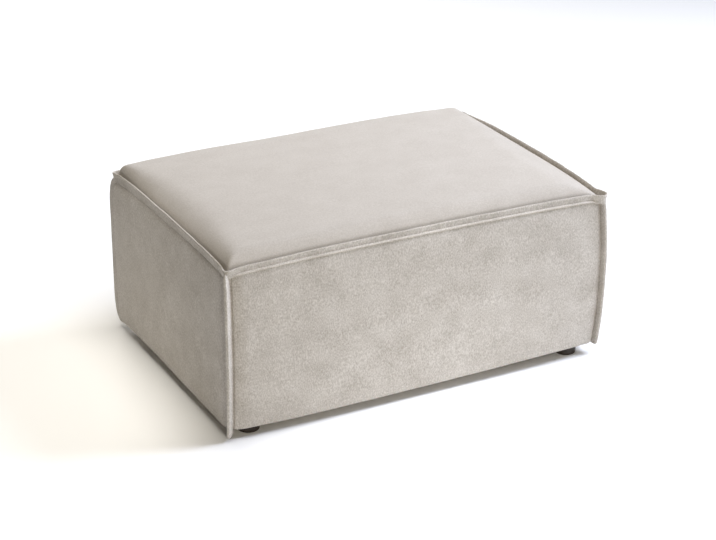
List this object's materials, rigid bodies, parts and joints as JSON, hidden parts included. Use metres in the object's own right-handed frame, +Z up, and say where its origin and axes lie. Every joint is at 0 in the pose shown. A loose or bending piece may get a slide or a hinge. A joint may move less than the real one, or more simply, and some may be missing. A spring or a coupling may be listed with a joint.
{
  "type": "ottoman",
  "caption": "Box ottoman with a crowned upholstered top, softly bulged sides, raised flange seams and low round feet.",
  "frame": {"origin": "on the floor, under the middle of the ottoman", "axes": "+X to the right along the width, +Y to the rear, +Z up; the front is the long side at -Y"},
  "size_m": [1, 0.68, 0.472],
  "materials": {
    "cover_fabric": "soft woven chenille, light greige",
    "dust_cloth": "black spunbond cloth",
    "polyester_wadding": "white polyester fibre wadding",
    "foam": "cream polyurethane foam",
    "felt": "grey needled felt",
    "pine": "planed pine",
    "beech": "fluted beech dowel",
    "hardboard": "smooth brown hardboard",
    "spring_steel": "drawn spring wire",
    "zinc_plated_steel": "zinc plated",
    "foot_plastic": "moulded dark brown plastic"
  },
  "bodies": {
    "root": {"bottom_centre_rail": "pine", "clip_nails": "zinc_plated_steel", "dust_cover": "dust_cloth", "fibre_wadding": "polyester_wadding", "foot_screws": "zinc_plated_steel", "frame_dowels": "beech", "front_bottom_rail": "pine", "front_cover": "cover_fabric", "front_left_corner_flange": "cover_fabric", "front_left_foot": "foot_plastic", "front_left_post": "pine", "front_middle_post": "pine", "front_right_corner_flange": "cover_fabric", "front_right_foot": "foot_plastic", "front_right_post": "pine", "front_side_board": "hardboard", "front_side_foam": "foam", "front_top_flange": "cover_fabric", "front_top_rail": "pine", "hem_staples": "zinc_plated_steel", "left_bottom_rail": "pine", "left_cover": "cover_fabric", "left_side_board": "hardboard", "left_side_foam": "foam", "left_top_flange": "cover_fabric", "left_top_rail": "pine", "rear_bottom_rail": "pine", "rear_cover": "cover_fabric", "rear_left_corner_flange": "cover_fabric", "rear_left_foot": "foot_plastic", "rear_left_post": "pine", "rear_middle_post": "pine", "rear_right_corner_flange": "cover_fabric", "rear_right_foot": "foot_plastic", "rear_right_post": "pine", "rear_side_board": "hardboard", "rear_side_foam": "foam", "rear_top_flange": "cover_fabric", "rear_top_rail": "pine", "right_bottom_rail": "pine", "right_cover": "cover_fabric", "right_side_board": "hardboard", "right_side_foam": "foam", "right_top_flange": "cover_fabric", "right_top_rail": "pine", "seat_foam": "foam", "spring_clips": "zinc_plated_steel", "spring_felt": "felt", "tie_wires": "spring_steel", "top_centre_rail": "pine", "top_cover": "cover_fabric", "zigzag_spring_1": "spring_steel", "zigzag_spring_2": "spring_steel", "zigzag_spring_3": "spring_steel", "zigzag_spring_4": "spring_steel", "zigzag_spring_5": "spring_steel", "zigzag_spring_6": "spring_steel", "zigzag_spring_7": "spring_steel"}
  },
  "joints": []
}
